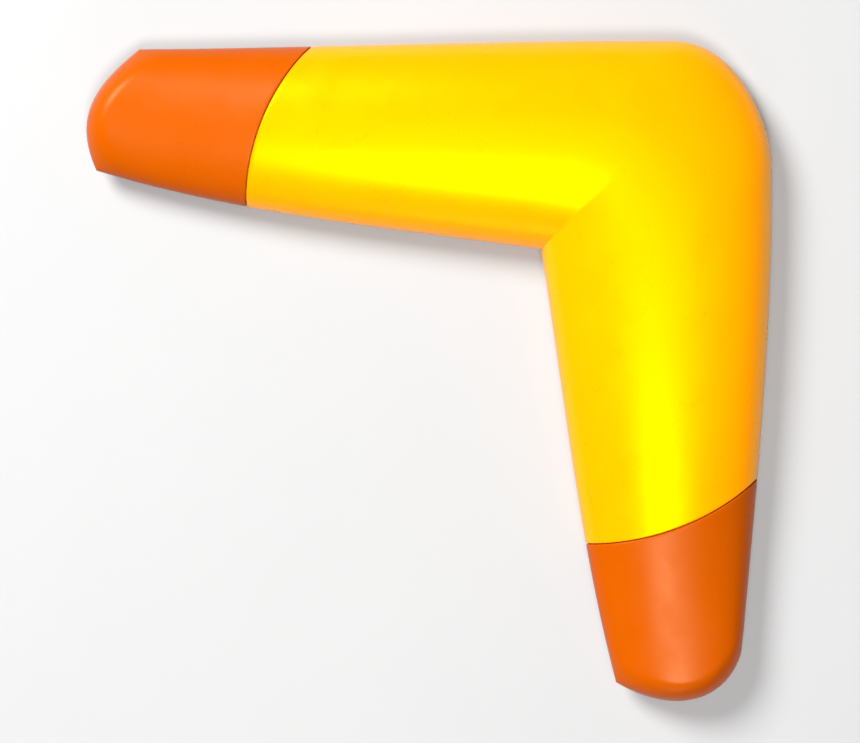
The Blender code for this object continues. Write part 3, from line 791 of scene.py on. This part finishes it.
def add_node(tree, kind, inputs=None, **settings):
    """A node with its settings, and its inputs given as values or as other nodes' outputs."""
    made = tree.nodes.new(kind)
    for key, value in settings.items():
        setattr(made, key, value)
    for key, value in (inputs or {}).items():
        if isinstance(value, bpy.types.NodeSocket):
            tree.links.new(value, made.inputs[key])
        else:
            made.inputs[key].default_value = value
    return made


def millimetres(tree):
    """The object's own coordinates in millimetres, so that every pattern's scale is a real size."""
    place = add_node(tree, "ShaderNodeTexCoord").outputs["Object"]
    return add_node(tree, "ShaderNodeVectorMath", {0: place, 3: 1 / MM}, operation="SCALE").outputs[0]


def noise(tree, place, size, detail=2.0, roughness=0.5, distortion=0.0):
    """Noise with features of about `size` millimetres."""
    inputs = {"Vector": place, "Scale": 1 / size, "Detail": detail, "Roughness": roughness, "Distortion": distortion}
    return add_node(tree, "ShaderNodeTexNoise", inputs).outputs["Fac"]


def ramp(tree, value, low, high, to_low=0.0, to_high=1.0):
    inputs = {"Value": value, "From Min": low, "From Max": high, "To Min": to_low, "To Max": to_high}
    return add_node(tree, "ShaderNodeMapRange", inputs).outputs["Result"]


def combine(tree, operation, first, second):
    return add_node(tree, "ShaderNodeMath", {0: first, 1: second}, operation=operation).outputs[0]


def tint(tree, share, first, second):
    """A colour that goes from `first` to `second` with the share."""
    made = add_node(tree, "ShaderNodeMix", data_type="RGBA")
    for key, value in ((0, share), (6, first), (7, second)):
        if isinstance(value, bpy.types.NodeSocket):
            tree.links.new(value, made.inputs[key])
        elif key:
            made.inputs[key].default_value = (*value, 1)
        else:
            made.inputs[key].default_value = value
    return made.outputs[2]


def scratches(tree, place):
    """Fine hairline scratches in three directions: long, thin streaks of stretched noise, broken up in patches."""
    lines = None
    for angle in (12, 71, 138):
        inputs = {"Vector": place, "Rotation": (0, 0, math.radians(angle)), "Scale": (0.03, 2.2, 0.5)}
        streaks = noise(tree, add_node(tree, "ShaderNodeMapping", inputs).outputs[0], 1.0, 1.0)
        line = ramp(tree, streaks, 0.72, 0.78)
        lines = line if lines is None else combine(tree, "MAXIMUM", lines, line)
    patches = ramp(tree, noise(tree, place, 24, 2.0), 0.5, 0.66)
    return combine(tree, "MULTIPLY", lines, patches)


def edge_scuffs(tree, place, reach):
    """1 in small broken scuffs round the widest outline, where a landing boomerang meets the ground."""
    height = add_node(tree, "ShaderNodeSeparateXYZ", {0: place}).outputs["Z"]
    from_edge = combine(tree, "ABSOLUTE", combine(tree, "SUBTRACT", height, PARTING_HEIGHT / MM), 0.0)
    near = ramp(tree, from_edge, reach, 0.3)
    marks = ramp(tree, noise(tree, place, 1.6, 4.0, 0.65), 0.56, 0.66)
    places = ramp(tree, noise(tree, place, 17, 2.0), 0.5, 0.62)
    return combine(tree, "MULTIPLY", combine(tree, "MULTIPLY", near, marks), places)


def moulded_plastic(name, color, deep, scuffed, sheen_tint, level):
    """Glossy moulded plastic: slow colour drift, faint orange peel and grain, hairlines and scuffed edges."""
    made, tree, shader = new_material(name, 0.3)
    place = millimetres(tree)
    drift = ramp(tree, noise(tree, place, 60, 3.0, 0.55), 0.35, 0.65)
    speckle = ramp(tree, noise(tree, place, 0.5, 2.0), 0.4, 0.7)
    hairlines = scratches(tree, place)
    scuffs = edge_scuffs(tree, place, 2.2)
    body = tint(tree, combine(tree, "MULTIPLY", drift, 0.5), color, deep)
    body = tint(tree, combine(tree, "MULTIPLY", speckle, 0.08), body, deep)
    tree.links.new(tint(tree, combine(tree, "MULTIPLY", scuffs, 0.3), body, scuffed), shader.inputs["Base Color"])
    handled = ramp(tree, noise(tree, place, 14, 4.0, 0.6), 0.3, 0.7, 0.25, 0.36)
    rough = combine(tree, "ADD", handled, combine(tree, "MULTIPLY", combine(tree, "MAXIMUM", hairlines, scuffs), 0.12))
    tree.links.new(rough, shader.inputs["Roughness"])
    peel = noise(tree, place, 3.2, 2.0)
    grain = noise(tree, place, 0.35, 2.0)
    bump = add_node(tree, "ShaderNodeBump", {"Height": peel, "Strength": 0.25, "Distance": 0.05 * MM})
    bump = add_node(tree, "ShaderNodeBump", {"Height": grain, "Strength": 0.2, "Distance": 0.006 * MM,
                                             "Normal": bump.outputs[0]})
    cuts = combine(tree, "ADD", hairlines, scuffs)
    bump = add_node(tree, "ShaderNodeBump", {"Height": cuts, "Strength": 0.12, "Distance": 0.02 * MM,
                                             "Normal": bump.outputs[0]}, invert=True)
    tree.links.new(bump.outputs[0], shader.inputs["Normal"])
    shader.inputs["Specular IOR Level"].default_value = level
    shader.inputs["Specular Tint"].default_value = (*sheen_tint, 1)
    return made


def turned_steel(name, color, lathe_marks, plated):
    """Steel with turning rings about each piece's own axis, faint stains and a bright, worn grain."""
    made, tree, shader = new_material(name, 0.3, 1.0)
    place = millimetres(tree)
    stain = ramp(tree, noise(tree, place, 3.0, 4.0, 0.6), 0.35, 0.75)
    tree.links.new(tint(tree, combine(tree, "MULTIPLY", stain, 0.55), color, plated), shader.inputs["Base Color"])
    grain = noise(tree, place, 0.12, 2.0)
    tree.links.new(ramp(tree, noise(tree, place, 1.2, 3.0), 0.3, 0.7, 0.22, 0.42), shader.inputs["Roughness"])
    rings = add_node(tree, "ShaderNodeTexWave", {"Vector": place, "Scale": lathe_marks, "Distortion": 0.6},
                     wave_type="RINGS", rings_direction="Z").outputs["Fac"]
    height = combine(tree, "ADD", combine(tree, "MULTIPLY", rings, 0.5), grain)
    bump = add_node(tree, "ShaderNodeBump", {"Height": height, "Strength": 0.3, "Distance": 0.01 * MM})
    tree.links.new(bump.outputs[0], shader.inputs["Normal"])
    return made


def open_foam():
    """Black open-cell foam: small pits between pale-edged cell walls."""
    made, tree, shader = new_material("foam", 0.9)
    place = millimetres(tree)
    cells = add_node(tree, "ShaderNodeTexVoronoi", {"Vector": place, "Scale": 2.2}, feature="DISTANCE_TO_EDGE")
    wall = ramp(tree, cells.outputs["Distance"], 0.02, 0.16, 1.0, 0.0)
    # Colour paler on the raised cell walls, in patches, and darker in the pits between them, following the relief mask
    paler_walls = combine(tree, "MULTIPLY", wall, ramp(tree, noise(tree, place, 2.5, 3.0), 0.3, 0.8))
    tree.links.new(tint(tree, paler_walls, (0.02, 0.02, 0.022), (0.09, 0.09, 0.095)), shader.inputs["Base Color"])
    bump = add_node(tree, "ShaderNodeBump", {"Height": wall, "Strength": 0.8, "Distance": 0.15 * MM})
    tree.links.new(bump.outputs[0], shader.inputs["Normal"])
    return made


def floor_material():
    """A pale matt floor that glows a little, which keeps its shadows soft. Its underside lets the view through."""
    made, tree, shader = new_material("pale_floor", 0.9)
    place = millimetres(tree)
    mottle = ramp(tree, noise(tree, place, 35, 4.0), 0.3, 0.7)
    tree.links.new(tint(tree, mottle, FLOOR_TONE, tuple(0.99 * c for c in FLOOR_TONE)), shader.inputs["Base Color"])
    shader.inputs["Specular IOR Level"].default_value = 0.0
    shader.inputs["Emission Color"].default_value = (1, 1, 1, 1)
    shader.inputs["Emission Strength"].default_value = FLOOR_GLOW
    clear = add_node(tree, "ShaderNodeBsdfTransparent").outputs[0]
    behind = add_node(tree, "ShaderNodeNewGeometry").outputs["Backfacing"]
    mixed = add_node(tree, "ShaderNodeMixShader", {0: behind, 1: shader.outputs[0], 2: clear})
    tree.links.new(mixed.outputs[0], tree.nodes["Material Output"].inputs["Surface"])
    return made


# ---------------------------------------------------------------- stage, light and camera

FLOOR_TONE = (0.4, 0.4, 0.4)
FLOOR_GLOW = 0.09
FLOOR_HALF = 4.0
FLOOR_DROP = 0.2 * MM  # keeps the floor clear of the underside

LENS = 120.0
SENSOR = 36.0
VIEW_WIDTH = 299.3 * MM  # across the frame, at the height of the outline
VIEW_CENTRE = (1.3 * MM, -58.0 * MM)
VIEW_TURN = math.radians(45)

# Each light: the heading it stands at, in degrees from +X, its height above the floor in degrees,
# its size in metres and its power in watts.
LIGHTS = {
    "key": (183, 46, 0.7, 43.0),
    "band": (312, 71, 0.5, 18.0),
    "low": (315, 22, 0.7, 3.0),
    "top": (0, 90, 0.7, 3.0),
}
LIGHT_DISTANCE = 1.6
WORLD_GLOW = 0.06


def add_floor():
    bm = bmesh.new()
    bmesh.ops.create_grid(bm, x_segments=16, y_segments=16, size=FLOOR_HALF)
    floor = object_from("floor", bm)
    floor.location.z = -FLOOR_DROP
    floor.data.materials.append(floor_material())


def add_light(name, heading, height, size, power):
    light = bpy.data.lights.new(name, "AREA")
    light.shape = "DISK"
    light.size = size
    light.energy = power
    made = bpy.data.objects.new(name, light)
    bpy.context.scene.collection.objects.link(made)
    up, turn = math.radians(height), math.radians(heading)
    out = Vector((math.cos(up) * math.cos(turn), math.cos(up) * math.sin(turn), math.sin(up)))
    made.location = LIGHT_DISTANCE * out
    made.rotation_euler = out.to_track_quat("Z", "Y").to_euler()


def add_world():
    world = bpy.data.worlds.new("studio")
    world.use_nodes = True
    background = world.node_tree.nodes["Background"]
    background.inputs["Color"].default_value = (1, 1, 1, 1)
    background.inputs["Strength"].default_value = WORLD_GLOW
    bpy.context.scene.world = world


def add_camera():
    data = bpy.data.cameras.new("camera")
    data.lens = LENS
    data.sensor_width = SENSOR
    made = bpy.data.objects.new("camera", data)
    bpy.context.scene.collection.objects.link(made)
    made.location = (*VIEW_CENTRE, PARTING_HEIGHT + VIEW_WIDTH * LENS / SENSOR)
    made.rotation_euler = (0, 0, VIEW_TURN)
    bpy.context.scene.camera = made


def stand_for(piece, node, material):
    """The piece shows in the CAD node's place, in the given material."""
    piece.data.materials.clear()
    piece.data.materials.append(material)
    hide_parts(node)
    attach(piece, "root")


def main():
    yellow = moulded_plastic("yellow_plastic", (1.0, 0.33, 0.0), (0.97, 0.3, 0.0), (1.0, 0.42, 0.02), (1.0, 0.95, 0.0), 1.0)
    orange = moulded_plastic("orange_plastic", (0.45, 0.074, 0.0), (0.42, 0.066, 0.0), (0.49, 0.088, 0.005), (1.0, 0.65, 0.4), 0.15)
    steel = turned_steel("steel", (0.62, 0.62, 0.64), 2.0, (0.42, 0.4, 0.38))
    screw_steel = turned_steel("screw_steel", (0.7, 0.7, 0.72), 3.0, (0.6, 0.58, 0.5))
    foam = open_foam()

    upper, lower = shell("upper_moulding", 1), shell("lower_moulding", -1)
    caps = [tip_cap(arm) for arm in ARMS]
    shell_screw_bores(upper, lower)
    cap_screw_bores(caps, lower)
    weight_fittings(upper, lower)
    for piece, node, slot, stuff in (
        (upper, "upper_shell", "yellow_plastic", yellow),
        (lower, "lower_shell", "yellow_plastic", yellow),
        (caps[0], "left_tip_cap", "orange_plastic", orange),
        (caps[1], "right_tip_cap", "orange_plastic", orange),
    ):
        stand_for(settle(piece), node, stuff)

    recess = cross_recess(0.9 * MM, 3.2 * MM, -HEAD_HEIGHT)
    pattern = threaded_screw("pan_pattern", pan_head(), SCREW_LENGTH, recess)
    place_screws(pattern, SHELL_SCREWS, COUNTERBORE_DEPTH - GAP, screw_steel)
    recess = cross_recess(0.8 * MM, 2.6 * MM, 0)
    pattern = threaded_screw("countersunk_pattern", countersunk_head(), CAP_SCREW_LENGTH, recess)
    place_screws(pattern, [f"{arm.name}_cap_screw" for arm in ARMS], GAP / 2, screw_steel)
    add_weights(steel, foam)

    add_floor()
    for name, (heading, height, size, power) in LIGHTS.items():
        add_light(name, heading, height, size, power)
    add_world()
    add_camera()
    bpy.context.scene.view_settings.view_transform = "Standard"


main()
